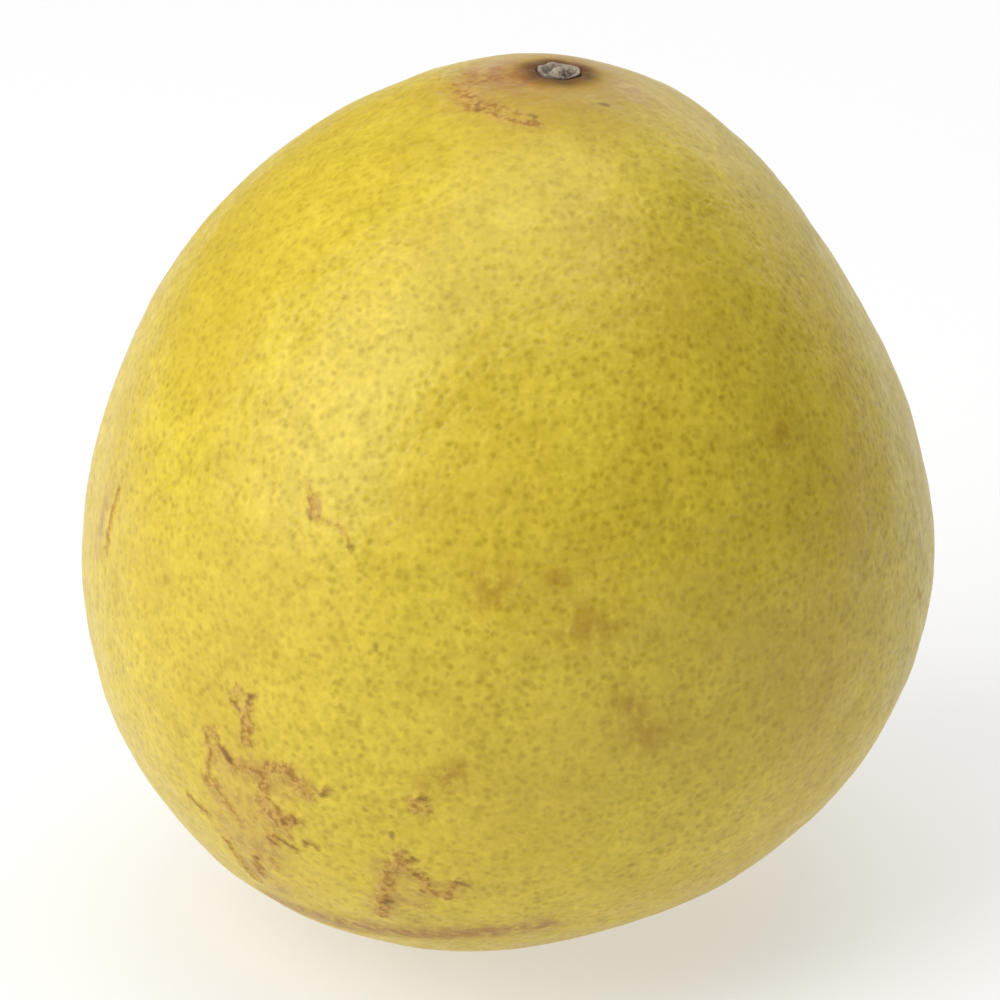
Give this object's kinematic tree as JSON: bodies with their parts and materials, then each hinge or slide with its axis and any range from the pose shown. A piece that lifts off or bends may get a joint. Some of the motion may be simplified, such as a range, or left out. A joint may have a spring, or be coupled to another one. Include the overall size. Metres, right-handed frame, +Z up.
{
  "type": "grapefruit",
  "caption": "Whole yellow grapefruit, lopsided and full at the blossom end, standing on a small flat spot with a dried woody stem button in its top.",
  "frame": {"origin": "middle of the small flat spot at the blossom end that the fruit rests on, at the height of the surface under it", "axes": "+Z up through the stem end, -Y towards the fruit's broadest face, +X to that face's right, where the rind has its long flat"},
  "size_m": [0.1061, 0.1078, 0.1089],
  "materials": {
    "waxy_rind": "waxy pitted citrus peel, satin",
    "dry_wood": "dry weathered calyx, matt"
  },
  "bodies": {
    "root": {"grapefruit": "waxy_rind", "stem_button": "dry_wood"}
  },
  "joints": []
}
